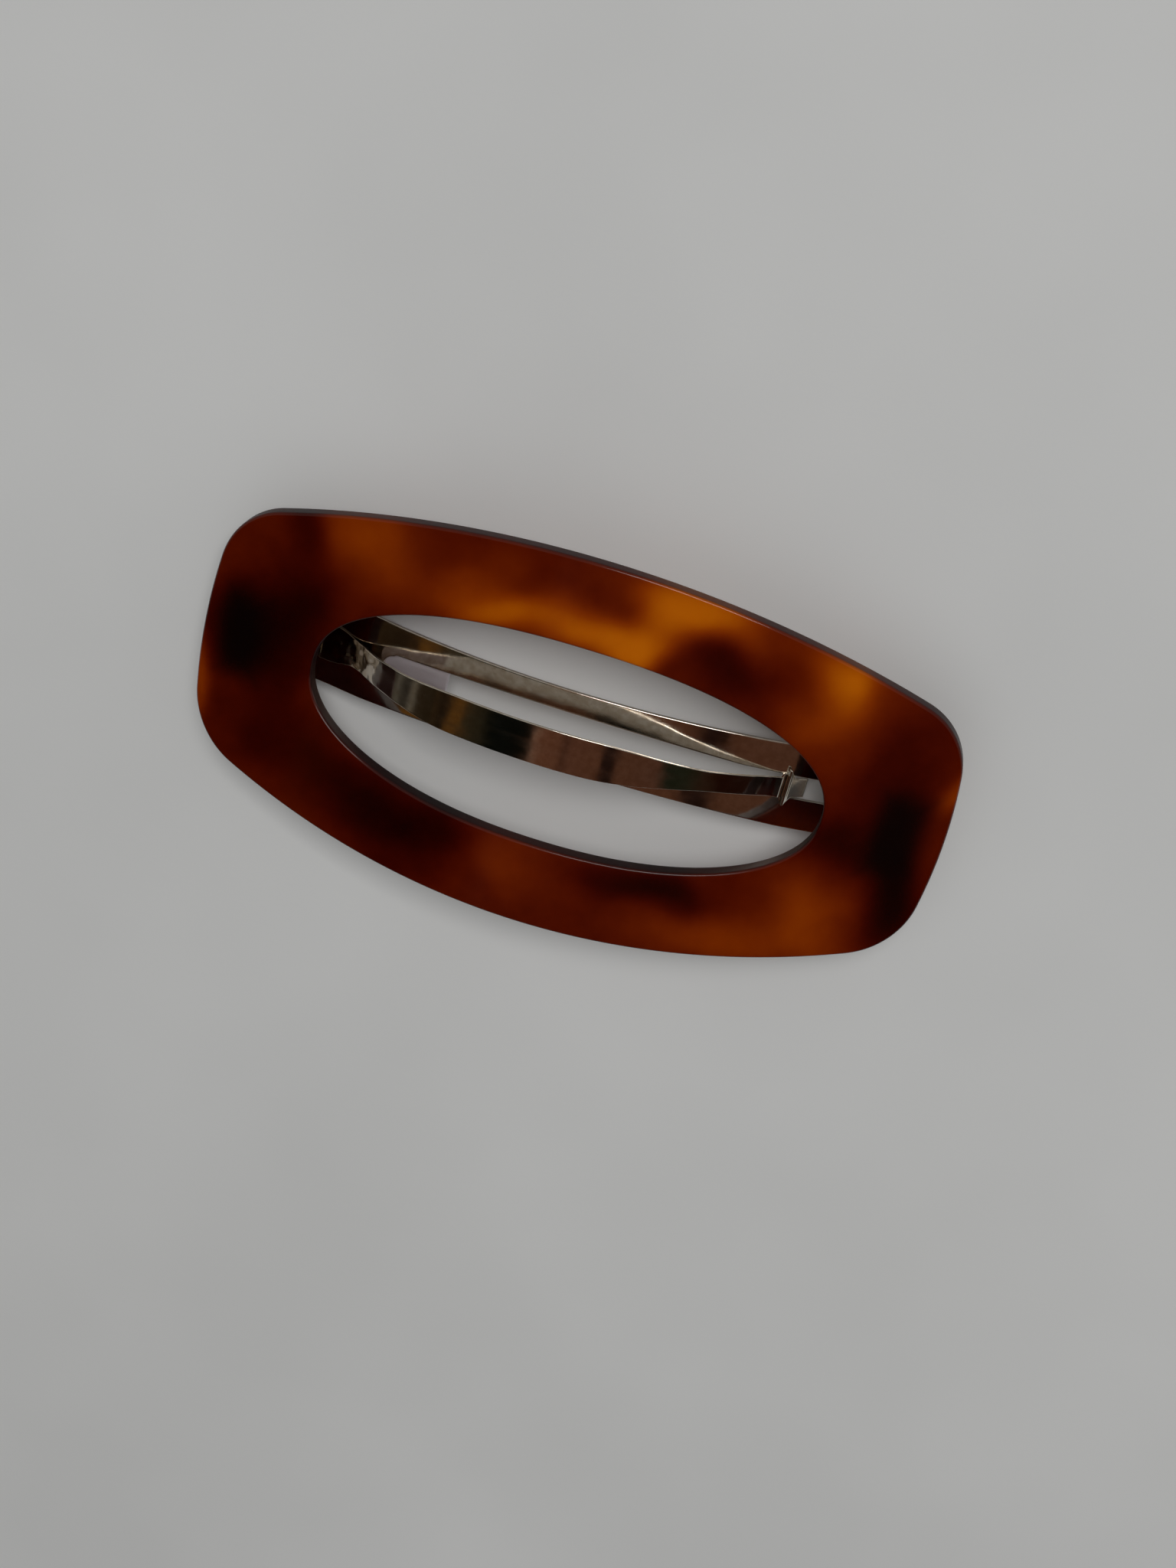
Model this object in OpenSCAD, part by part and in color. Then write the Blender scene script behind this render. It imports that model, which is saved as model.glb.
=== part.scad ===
// Barrette: a bowed plate with an oval window, on a two-rail spring clip.
// X runs along the plate from the hinge to the clasp, Y across it, and Z up
// through its front face. Z = 0 is the surface the closed clip lies on.

/* [Plate] */
// Length of the plate, end to end
plate_len = 94.4; // [88:0.2:100]
// Width of the plate across its middle
plate_w = 47.2; // [42:0.2:52]
// Width at the ends, before the corners are rounded
plate_end_w = 34.6; // [30:0.2:38]
// Bulge of each short end
end_bulge = 0.5; // [0.3:0.1:1.5]
// Radius of the four corners
corner_r = 9.8; // [7:0.1:12]
// Thickness of the plate
plate_t = 2.3; // [2:0.1:3]
// Radius that the plate is bowed to along its length
plate_bow_r = 170; // [140:1:260]

/* [Window] */
// Length of the oval window
window_len = 64.2; // [56:0.2:66]
// Width of the oval window
window_w = 26; // [20:0.2:28]
// Power of the oval: 2 is an ellipse, more is squarer
window_power = 2.2; // [2:0.05:2.6]

/* [Arm] */
// Height of the middle of the arm's top face below the plate's front face
arm_drop = 6.8; // [6.8:0.1:7.4]
// Radius of the arm's bow
arm_bow_r = 103; // [98:1:115]
// Thickness of the sheet that the arm is stamped from
arm_t = 0.6; // [0.5:0.05:0.7]
// Half width of the arm at the middle
arm_half_mid = 5.05; // [4.8:0.05:5.3]
// Half width of the arm towards its ends
arm_half_end = 5.55; // [5.4:0.05:5.8]
// Half width of the slot at the middle
slot_half_mid = 2.25; // [2:0.05:2.4]
// Half width of the slot towards its ends
slot_half_end = 1.5; // [1.45:0.05:1.7]
// Where the slot starts, at the hinge side
slot_start = -24.9; // [-26:0.1:-23]
// Where the slot stops, at the clasp side
slot_stop = 34.6; // [33:0.1:36]
// Where the folded flap under the arm stops
flap_stop = -16.3; // [-19:0.1:-14]

/* [Tension bar] */
// Height of the bar's crest above the plate's front face
bar_crest = 0.65; // [0:0.05:0.8]
// Thickness of the bar
bar_t = 0.35; // [0.3:0.05:0.45]
// Full width of the bar around its crest
bar_w = 4.9; // [4.4:0.1:5.2]
// Width of the bar's narrow end, which runs in the slot
bar_tip_w = 2.6; // [2.2:0.1:2.7]
// Width of the bar's shoulder at the hinge side
bar_neck_w = 3.3; // [3:0.1:3.8]

/* [Hinge and clasp] */
// Distance of the hinge pin from the middle of the plate
hinge_x = 41.2; // [40.8:0.1:41.6]
// Distance of the clasp from the middle of the plate
clasp_x = 41.7; // [41.4:0.1:42]
// Radius of the hinge pin
pin_r = 0.8; // [0.7:0.05:0.85]
// Running clearance between the pin and the rolled knuckle
pin_gap = 0.05; // [0.03:0.01:0.08]
// Thickness of the bracket sheet
bracket_t = 0.8; // [0.7:0.05:0.9]
// Overall width of the brackets
bracket_w = 10; // [9.8:0.1:10.4]
// Thickness of each clasp lever
lever_t = 0.6; // [0.5:0.05:0.7]

/* [Hidden] */
$fn = 96;
smooth = 360;      // facets of the large arcs
eps = 0.01;
reach = 80;        // half size of a block that is larger than the part

// arm profile: a long bow, then a short reverse bend to a level end
bow_half = 31;
bend_r = 20;
bend_a = asin(bow_half / arm_bow_r);
bend_end = bow_half + bend_r * sin(bend_a);
end_drop = arm_bow_r * (1 - cos(bend_a)) + bend_r * (1 - cos(bend_a));

// heights above the surface the clip lies on
knuckle_in = pin_r + pin_gap;
knuckle_out = knuckle_in + arm_t;
foot_under = 0.2;
pin_z = knuckle_out + foot_under;
arm_end_z = pin_z + knuckle_out;          // top face of the arm's level ends
arm_z = arm_end_z + end_drop;             // top face at the middle of the bow
front_z = arm_z + arm_drop;               // front face of the plate at its middle
bow_z = front_z - plate_bow_r;            // height of the plate's bow axis
back_r = plate_bow_r - plate_t;           // radius of the plate's back face

// how far from their middles the arm and its slot reach their end widths
arm_waist_span = 27;
slot_waist_span = 24;
slot_waist_x = -3;

// plate outline: four large arcs that meet in rounded corners
corner_x = plate_len / 2 - end_bulge - corner_r;
corner_y = plate_end_w / 2 - corner_r;
side_rise = (plate_w - plate_end_w) / 2;
side_in = (corner_x * corner_x + side_rise * side_rise) / (2 * side_rise);
side_r = side_in + corner_r;
side_a = asin(corner_x / side_in);
end_in = (corner_y * corner_y + end_bulge * end_bulge) / (2 * end_bulge);
end_r = end_in + corner_r;
end_a = asin(corner_y / end_in);

// clasp window in the arm, and the levers that pass through it
catch_start = 39.0;
catch_stop = 44.4;
catch_half = 3.5;
arm_stop = 46.2;
arm_wide_start = -38.5;
knuckle_half = 4.0;
lever_x0 = 39.7;
lever_x1 = 43.7;
lever_out = 3.2;
barb_out = 3.4;
foot_len = 5.6;
foot_t = 0.7;
ear_in = bracket_w / 2 - bracket_t;
ear_set_back = 0.8;       // clears the plate's window
ear_low_half = 1.5;
ear_taper_rise = 1.4;     // above the pin's axis

// tension bar: the crest, the two flanks and the ends
crest_x = -1;
left_fall = 0.0085;       // parabola on the hinge side
shoulder_fall = 0.0247;   // added past the shoulder
shoulder_run = 14;
land_x = -29.3;
hook_x = -33.7;
ridge_x = 27.2;
tongue_x = 29.5;
flap_gap = 0.12;

// pegs, pin heads and the fine heights of the clasp
peg_xs = [-41.6, 41.7];
peg_y = 4.1;
peg_r = 0.6;
peg_head_r = 0.85;
peg_head_t = 0.3;
peg_depth = 1.4;
pin_head_r = 1.15;
pin_head_t = 0.3;
ear_mid = (ear_in + bracket_w / 2) / 2;
ear_top = front_z - plate_t;
lever_root_z = front_z - 8.95;
lever_pivot_z = lever_root_z - 0.05 - lever_t / 2;
lever_mid = lever_out - lever_t / 2;
lever_hole_r = 0.7;
lever_hole_drop = 2.2;    // below the pivot
tip_in = 0.25;            // the tip's broken corners
tip_up = 0.35;
barb_len = 0.9;
barb_z = arm_end_z - arm_t - 0.15;
lift = 0.02;
bar_head_w = 4.8;
ridge_r = 0.42;
slit_half_len = 0.45;
slit_half_w = 1.8;
hook_z = 1.55;

color_acetate = [0.45, 0.17, 0.03];
color_nickel = [0.78, 0.77, 0.75];

function arm_top(x) =
    abs(x) <= bow_half ? arm_z - arm_bow_r + sqrt(arm_bow_r * arm_bow_r - x * x)
    : abs(x) <= bend_end ? arm_end_z + bend_r
        - sqrt(bend_r * bend_r - (bend_end - abs(x)) * (bend_end - abs(x)))
    : arm_end_z;

function oval(half_len, half_wid, power, steps) = [
    for (i = [0 : steps - 1])
        let (a = 360 * i / steps, c = cos(a), s = sin(a))
        [half_len * sign(c) * pow(abs(c), 2 / power),
         half_wid * sign(s) * pow(abs(s), 2 / power)]];

// top of the free bar: a parabola to the clasp side, a steeper shoulder to the hinge side
right_fall = (front_z + bar_crest - arm_top(ridge_x) - bar_t) / pow(ridge_x - crest_x, 2);
function bar_free(x) = front_z + bar_crest
    - (x > crest_x ? right_fall * pow(x - crest_x, 2)
       : left_fall * pow(crest_x - x, 2)
         + shoulder_fall * pow(max(0, crest_x - x - shoulder_run), 2));
function bar_top(x) = max(bar_free(x), arm_top(x) + bar_t);

// outline of a strip of constant thickness under a curve, in X and Z
function under(points, t) =
    let (n = len(points))
    [for (i = [0 : n - 1])
        let (a = points[max(i - 1, 0)], b = points[min(i + 1, n - 1)],
             d = b - a, l = norm(d))
        points[i] + t * [d[1], -d[0]] / l];
function flip(points) = [for (i = [len(points) - 1 : -1 : 0]) points[i]];

// a shape drawn in X and Z, carried along Y
module across(half) {
    rotate([90, 0, 0]) translate([0, 0, -half]) linear_extrude(height = 2 * half) children();
}

// a shell of the plate's bow, between two depths behind its front face
module bow_shell(depth0, depth1, half) {
    translate([0, 0, bow_z]) rotate([90, 0, 0]) difference() {
        cylinder(r = plate_bow_r - depth0, h = 2 * half, center = true, $fn = smooth);
        cylinder(r = plate_bow_r - depth1, h = 2 * half + 1, center = true, $fn = smooth);
    }
}

module corner_cut() {
    k = 2 * corner_r;
    mid = (end_a + 90 - side_a) / 2;
    translate([corner_x, corner_y]) difference() {
        polygon([[0, 0], k * [cos(end_a), sin(end_a)], 1.5 * k * [cos(mid), sin(mid)],
                 k * [sin(side_a), cos(side_a)]]);
        circle(r = corner_r);
    }
}

module plate_shape() {
    difference() {
        intersection() {
            translate([0, plate_w / 2 - side_r]) circle(r = side_r, $fn = smooth);
            translate([0, side_r - plate_w / 2]) circle(r = side_r, $fn = smooth);
            translate([plate_len / 2 - end_r, 0]) circle(r = end_r, $fn = smooth);
            translate([end_r - plate_len / 2, 0]) circle(r = end_r, $fn = smooth);
        }
        for (mx = [0, 1], my = [0, 1]) mirror([mx, 0]) mirror([0, my]) corner_cut();
        polygon(oval(window_len / 2, window_w / 2, window_power, 120));
    }
}

// places its children on the bow: the plate's front face at x, with Z along its normal
module at_bow(x) {
    translate([0, 0, bow_z]) rotate([0, asin(x / plate_bow_r), 0])
        translate([0, 0, plate_bow_r]) children();
}

module block(x0, x1, half_y, z0, z1) {
    translate([x0, -half_y, z0]) cube([x1 - x0, 2 * half_y, z1 - z0]);
}

// the four pegs that hold the two brackets, each with a flat head
module peg(r, head_r, head_t, depth) {
    translate([0, 0, -plate_t - foot_t - head_t]) cylinder(r = head_r, h = head_t);
    translate([0, 0, -plate_t - foot_t - eps]) cylinder(r = r, h = foot_t + depth + eps);
}

module at_pegs() {
    for (x = peg_xs, y = [-peg_y, peg_y]) at_bow(x) translate([0, y, 0]) children();
}

module plate() {
    color(color_acetate) difference() {
        intersection() {
            linear_extrude(height = front_z + 1) plate_shape();
            bow_shell(0, plate_t, reach);
        }
        at_pegs() translate([0, 0, -plate_t - 1]) cylinder(r = peg_r, h = peg_depth + 1);
    }
}

module fixing_pins() {
    color(color_nickel) at_pegs() peg(peg_r, peg_head_r, peg_head_t, peg_depth);
}

// a bracket's foot, which lies against the back of the plate
module foot(x0, x1) {
    intersection() {
        bow_shell(plate_t, plate_t + foot_t, bracket_w / 2);
        block(x0, x1, bracket_w / 2, 0, front_z);
    }
}

module peg_holes() {
    at_pegs() translate([0, 0, -plate_t - 3]) cylinder(r = peg_r, h = 4);
}

module hinge_ear() {
    front = foot_len / 2 - ear_set_back;
    polygon([[-foot_len / 2, ear_top], [front, ear_top], [front, pin_z + ear_taper_rise],
             [ear_low_half, 0], [-ear_low_half, 0], [-foot_len / 2, pin_z + ear_taper_rise]]);
}

module hinge_bracket() {
    color(color_nickel) difference() {
        union() {
            foot(-hinge_x - foot_len / 2, -hinge_x + foot_len / 2 - ear_set_back);
            intersection() {
                for (y = [-ear_mid, ear_mid])
                    translate([-hinge_x, y, 0]) across(bracket_t / 2) hinge_ear();
                translate([0, 0, bow_z]) rotate([90, 0, 0])
                    cylinder(r = back_r - foot_t / 2, h = 2 * reach, center = true, $fn = smooth);
            }
        }
        translate([-hinge_x, 0, pin_z]) rotate([90, 0, 0])
            cylinder(r = pin_r, h = 2 * bracket_w, center = true);
        peg_holes();
    }
}

module hinge_pin() {
    color(color_nickel) translate([-hinge_x, 0, pin_z]) rotate([90, 0, 0]) {
        cylinder(r = pin_r, h = bracket_w + 2 * pin_head_t, center = true);
        for (s = [-1, 1])
            translate([0, 0, s * (bracket_w + pin_head_t) / 2])
                cylinder(r = pin_head_r, h = pin_head_t, center = true);
    }
}

module clasp_base() {
    color(color_nickel) difference() {
        union() {
            foot(clasp_x - foot_len / 2, clasp_x + foot_len / 2);
            intersection() {
                block(lever_x0 - 0.2, lever_x1 + 0.2, lever_out + 0.1, lever_root_z, front_z);
                translate([0, 0, bow_z]) rotate([90, 0, 0])
                    cylinder(r = back_r - foot_t / 2, h = 2 * reach, center = true, $fn = smooth);
            }
        }
        peg_holes();
    }
}

// a clasp lever on the +Y side: a sprung strip with a barb under the arm
module clasp_lever() {
    difference() {
        translate([lever_x0, 0, 0]) rotate([90, 0, 90]) linear_extrude(height = lever_x1 - lever_x0) {
            translate([lever_mid, lever_pivot_z]) circle(r = lever_t / 2);
            polygon([[lever_mid - lever_t / 2, lever_pivot_z], [lever_mid - lever_t / 2, tip_up],
                     [lever_mid - lever_t / 2 + tip_in, 0], [lever_out - tip_in, 0],
                     [barb_out, barb_z - barb_len], [barb_out, barb_z], [lever_out, barb_z],
                     [lever_out, lever_pivot_z]]);
        }
        translate([(lever_x0 + lever_x1) / 2, lever_mid, lever_pivot_z - lever_hole_drop])
            rotate([90, 0, 0]) cylinder(r = lever_hole_r, h = 4, center = true);
    }
}

module clasp_lever_upper() {
    color(color_nickel) clasp_lever();
}

module clasp_lever_lower() {
    color(color_nickel) mirror([0, 1, 0]) clasp_lever();
}

// section of a strip that follows the arm: its top lies a depth below the arm's top
module strip_section(depth, t, x0, x1) {
    intersection() {
        union() {
            intersection() {
                translate([0, arm_z - arm_bow_r]) difference() {
                    circle(r = arm_bow_r - depth, $fn = smooth);
                    circle(r = arm_bow_r - depth - t, $fn = smooth);
                }
                translate([-bow_half, 0]) square([2 * bow_half, front_z]);
            }
            for (m = [0, 1]) mirror([m, 0]) {
                intersection() {
                    translate([bend_end, arm_end_z + bend_r]) difference() {
                        circle(r = bend_r + depth + t, $fn = smooth);
                        circle(r = bend_r + depth, $fn = smooth);
                    }
                    translate([bow_half - eps, 0])
                        square([bend_end - bow_half + eps, front_z - arm_drop]);
                }
                translate([bend_end - eps, arm_end_z - depth - t])
                    square([reach - bend_end, t]);
            }
        }
        translate([x0, -reach]) square([x1 - x0, 2 * reach]);
    }
}

function waist(x, mid, end, span) = mid + (end - mid) * min(1, pow(x / span, 2));
arm_edge = [for (i = [0 : 40])
    let (x = arm_wide_start + (arm_stop - 2 - arm_wide_start) * i / 40)
    [x, waist(x, arm_half_mid, arm_half_end, arm_waist_span)]];
arm_corner = [for (i = [1 : 8])
    [arm_stop - 2 + 2 * sin(90 * i / 8), arm_half_end - 2 + 2 * cos(90 * i / 8)]];
slot_edge = [for (i = [0 : 40])
    let (x = slot_start + slot_half_end + (slot_stop - slot_start - 2 * slot_half_end) * i / 40)
    [x, waist(x - slot_waist_x, slot_half_mid, slot_half_end, slot_waist_span)]];
function slot_end(x, s) = [for (i = [1 : 9])
    [x + s * slot_half_end * sin(18 * i), s * slot_half_end * cos(18 * i)]];
function mirrored(points) = [for (p = flip(points)) [p[0], -p[1]]];

module arm_plan() {
    difference() {
        union() {
            polygon(concat(arm_edge, arm_corner, mirrored(arm_corner), mirrored(arm_edge)));
            translate([-hinge_x, -knuckle_half]) square([hinge_x + arm_wide_start + 1, 2 * knuckle_half]);
        }
        polygon(concat(slot_edge, slot_end(slot_edge[40][0], 1), mirrored(slot_edge),
                       slot_end(slot_edge[0][0], -1)));
        translate([catch_start, -catch_half]) square([catch_stop - catch_start, 2 * catch_half]);
        hook_slit();
    }
}

module hook_slit() {
    translate([hook_x - slit_half_len, -slit_half_w]) square(2 * [slit_half_len, slit_half_w]);
}

// the fold rises from under the knuckle until it lies close under the arm
fold_low = pin_z - knuckle_in;
fold_high = arm_end_z - arm_t - flap_gap;
fold_line = [for (i = [0 : 16])
    let (u = i / 16)
    [-hinge_x + (hinge_x - bend_end) * u,
     fold_low + (fold_high - fold_low) * (1 - cos(180 * u)) / 2]];

module arm() {
    color(color_nickel) {
        intersection() {
            linear_extrude(height = front_z) arm_plan();
            across(reach / 2) strip_section(0, arm_t, -hinge_x, arm_stop);
        }
        across(knuckle_half) difference() {
            translate([-hinge_x, pin_z]) circle(r = knuckle_out);
            translate([-hinge_x, pin_z]) circle(r = knuckle_in);
        }
        intersection() {
            linear_extrude(height = front_z) difference() {
                translate([-hinge_x, -knuckle_half])
                    square([hinge_x + flap_stop, 2 * knuckle_half]);
                hook_slit();
            }
            across(knuckle_half) union() {
                polygon(concat(fold_line, flip(under(fold_line, arm_t))));
                strip_section(arm_t + flap_gap, arm_t, -bend_end - eps, flap_stop);
            }
        }
    }
}

bar_line = [for (i = [0 : 72])
    let (x = hook_x - bar_t / 2 + (ridge_x - hook_x + bar_t / 2) * i / 72) [x, bar_top(x) + lift]];
bar_half = [[hook_x - bar_t / 2, bar_head_w / 2], [land_x - 1.2, bar_head_w / 2],
            [land_x - 0.2, bar_neck_w / 2], [-25, bar_neck_w / 2], [-19, bar_w / 2 - 0.35],
            [-14, bar_w / 2], [5, bar_w / 2 - 0.03], [17.5, bar_tip_w / 2],
            [ridge_x, bar_tip_w / 2]];
rail_z = arm_top(ridge_x);
tongue_line = [[ridge_x, rail_z + bar_t + lift], [ridge_x + 0.5, rail_z + bar_t - 0.05],
               [ridge_x + 1.2, rail_z - 0.15], [tongue_x, rail_z - 1.15]];

module tension_bar() {
    color(color_nickel) {
        intersection() {
            linear_extrude(height = 2 * front_z) polygon(concat(bar_half, mirrored(bar_half)));
            across(bar_w) polygon(concat(bar_line, flip(under(bar_line, bar_t))));
        }
        across(bar_tip_w / 2 - 0.05)
            polygon(concat(tongue_line, flip(under(tongue_line, bar_t))));
        translate([ridge_x + 0.05, 0, rail_z + ridge_r + lift]) rotate([90, 0, 0])
            cylinder(r = ridge_r, h = bar_head_w, center = true);
        // hook through the arm and its flap
        block(hook_x - bar_t / 2, hook_x + bar_t / 2, slit_half_w - 0.2, hook_z,
              arm_top(hook_x) + bar_t);
    }
}

plate();
fixing_pins();
hinge_bracket();
hinge_pin();
clasp_base();
clasp_lever_upper();
clasp_lever_lower();
arm();
tension_bar();
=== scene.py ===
import bmesh
import bpy
import numpy as np
from mathutils import Matrix, Vector


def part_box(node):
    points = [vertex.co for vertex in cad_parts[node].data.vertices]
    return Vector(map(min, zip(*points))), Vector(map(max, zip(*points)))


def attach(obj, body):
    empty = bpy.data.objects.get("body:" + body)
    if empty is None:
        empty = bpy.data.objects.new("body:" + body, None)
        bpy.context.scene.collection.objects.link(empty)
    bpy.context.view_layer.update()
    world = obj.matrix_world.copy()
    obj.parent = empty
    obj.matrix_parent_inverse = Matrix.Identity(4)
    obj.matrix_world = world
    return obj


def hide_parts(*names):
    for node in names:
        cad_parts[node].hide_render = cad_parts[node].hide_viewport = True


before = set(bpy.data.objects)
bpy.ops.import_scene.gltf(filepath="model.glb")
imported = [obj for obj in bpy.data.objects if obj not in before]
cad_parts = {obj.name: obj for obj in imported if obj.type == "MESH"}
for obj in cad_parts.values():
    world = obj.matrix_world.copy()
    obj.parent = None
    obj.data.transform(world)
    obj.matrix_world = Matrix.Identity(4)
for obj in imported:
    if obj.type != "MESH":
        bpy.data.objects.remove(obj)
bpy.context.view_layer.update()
print("frame loaded:", ", ".join(sorted(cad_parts)))

mm = 0.001
weldGap = 2e-6          # metres: corners closer than this are one corner
hair = 1e-6             # mm: less than this is nothing
quarter = np.pi / 2


def linearColour(hexText):
    # sRGB hex to the linear value that shaders expect
    values = [int(hexText[i:i + 2], 16) / 255 for i in (1, 3, 5)]
    return tuple(v / 12.92 if v <= 0.04045 else ((v + 0.055) / 1.055) ** 2.4
                 for v in values) + (1.0,)


def addNode(tree, kind, settings=None, links=None):
    # settings name a property of the node or one of its inputs; links give input: output socket
    node = tree.nodes.new(kind)
    for key, value in (settings or {}).items():
        if isinstance(key, str) and hasattr(node, key):
            setattr(node, key, value)
        else:
            node.inputs[key].default_value = value
    for key, socket in (links or {}).items():
        tree.links.new(socket, node.inputs[key])
    return node


def newMaterial(name):
    # an empty material and its node tree
    material = bpy.data.materials.new(name)
    material.use_nodes = True
    tree = material.node_tree
    tree.nodes.clear()
    return material, tree


def rampStops(node, stops):
    # a colour ramp from (place, hex colour) pairs
    elements = node.color_ramp.elements
    while len(elements) < len(stops):
        elements.new(0.5)
    for element, (place, hexText) in zip(elements, stops):
        element.position = place
        element.color = linearColour(hexText)
    return node


def gridFaces(rows, columns, closed):
    # quads of a grid whose corners are numbered row by row; closed joins the last column to
    # the first
    across = columns if closed else columns - 1
    r, c = np.meshgrid(np.arange(rows - 1), np.arange(across), indexing="ij")
    nextC = (c + 1) % columns
    return np.stack([r * columns + c, r * columns + nextC,
                     (r + 1) * columns + nextC, (r + 1) * columns + c], -1).reshape(-1, 4)


def makePiece(name, shells, material, body, replaced):
    # shells are (points in mm, faces); they share one mesh, whose doubled corners are merged
    points, faces, offset = [], [], 0
    for shellPoints, shellFaces in shells:
        points.append(np.asarray(shellPoints, float).reshape(-1, 3) * mm)
        faces += [[index + offset for index in face] for face in shellFaces]
        offset += len(points[-1])
    mesh = bpy.data.meshes.new(name)
    mesh.from_pydata(np.concatenate(points).tolist(), [], faces)
    work = bmesh.new()
    work.from_mesh(mesh)
    bmesh.ops.remove_doubles(work, verts=work.verts, dist=weldGap)
    bmesh.ops.dissolve_degenerate(work, edges=work.edges, dist=weldGap / 4)
    if work.calc_volume(signed=True) < 0:
        bmesh.ops.reverse_faces(work, faces=work.faces)
    work.to_mesh(mesh)
    work.free()
    mesh.polygons.foreach_set("use_smooth", np.ones(len(mesh.polygons), bool))
    piece = bpy.data.objects.new(name, mesh)
    bpy.context.scene.collection.objects.link(piece)
    mesh.materials.append(material)
    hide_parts(*replaced)
    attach(piece, body)
    return piece


def cornersOf(piece):
    # the x, y and z of a mesh's corners, in mm
    place = np.zeros(len(piece.data.vertices) * 3)
    piece.data.vertices.foreach_get("co", place)
    return place.reshape(-1, 3).T / mm


def markCorners(piece, name, value):
    # one number for each corner, which a material reads by its name
    attribute = piece.data.attributes.new(name, "FLOAT", "POINT")
    attribute.data.foreach_set("value", np.asarray(value, np.float32))


def roundSteps(count):
    # sine and cosine of equal turns through a quarter circle
    turn = np.linspace(0, quarter, count + 1)
    return np.sin(turn), np.cos(turn)


viewPoint = {
    "place": (0.02199, 0.09904, 0.25456),      # metres, over the far long side
    "back": (0.0676, 0.3921, 0.9174),          # from the object towards the camera
    "up": (-0.2943, 0.8864, -0.3572),
    "focalLength": 50.1,                       # mm, on a 36 mm long side
}


def placeCamera(settings):
    # right = up x back and up = back x right, so the three directions are square to each other
    back = Vector(settings["back"]).normalized()
    right = Vector(settings["up"]).cross(back).normalized()
    up = back.cross(right)
    camera = bpy.data.objects.new("camera", bpy.data.cameras.new("camera"))
    camera.data.sensor_width = 36
    camera.data.lens = settings["focalLength"]
    camera.data.clip_start = 0.005
    camera.data.clip_end = 20
    camera.matrix_world = Matrix.Translation(settings["place"]) @ Matrix(
        (right, up, back)).transposed().to_4x4()
    bpy.context.scene.collection.objects.link(camera)
    bpy.context.scene.camera = camera


placeCamera(viewPoint)
print("camera placed")

# each light: where it hangs, what it looks at, width, depth, watts, colour, seen in reflections
softLights = {
    "window": ((0.14, 0.48, 0.94), (0, 0, 0), 0.42, 0.34, 4.1, "#ffffff", True),
    "ceiling": ((-0.10, -0.10, 1.30), (0, 0, 0), 1.60, 1.40, 1.7, "#f8faff", False),
}
roomLook = {
    "tint": "#cbcbca", "level": 0.25,            # what matt surfaces gather from the walls
    "mirrorTint": "#a9a7a1", "mirrorLevel": 1.0,  # what polished surfaces mirror behind the maker
    "bandLevel": 0.5,
    "turnsAt": (-0.05, -0.18),                   # where the maker's side gives way to the viewer's
    # the shelf, curtains and clothes on the viewer's side, by the sideways part of the direction
    "bands": [
        (-1.00, "#5a564e"), (-0.94, "#241f1a"), (-0.90, "#6d675c"), (-0.86, "#2e2822"),
        (-0.83, "#847c6e"), (-0.80, "#3d3224"), (-0.66, "#33281a"), (-0.63, "#3e2e1c"),
        (-0.56, "#2c2014"), (-0.52, "#33261a"), (-0.505, "#7c5424"),
        (-0.475, "#6e4a20"), (-0.45, "#3d3424"), (-0.38, "#342e20"), (-0.355, "#10130f"),
        (-0.18, "#0f100c"), (-0.155, "#95705c"), (-0.13, "#7d513c"), (-0.04, "#784e3a"),
        (0.00, "#5c3a2c"), (0.05, "#744c3a"), (0.23, "#704834"), (0.25, "#2b1a16"),
        (0.31, "#281814"), (0.335, "#6e4835"), (0.55, "#6a4636"), (0.58, "#262a1e"),
        (0.68, "#2b2c1e"), (0.72, "#3e2a1e"), (0.78, "#2c1208"), (0.86, "#2a140c"),
        (0.95, "#7c766c"),
    ],
}


def turnTowards(place, target):
    # a lamp shines along its own -Z
    return (Vector(target) - Vector(place)).to_track_quat("-Z", "Y").to_matrix().to_4x4()


def lightTheScene():
    # soft rectangles; one that isn't mirrored still lights the matt surfaces
    for name, (place, target, width, depth, watts, tint, mirrored) in softLights.items():
        data = bpy.data.lights.new(name, "AREA")
        data.shape = "RECTANGLE"
        data.size, data.size_y = width, depth
        data.energy = watts
        data.color = linearColour(tint)[:3]
        light = bpy.data.objects.new(name, data)
        light.matrix_world = Matrix.Translation(place) @ turnTowards(place, target)
        light.visible_glossy = mirrored
        bpy.context.scene.collection.objects.link(light)


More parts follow.
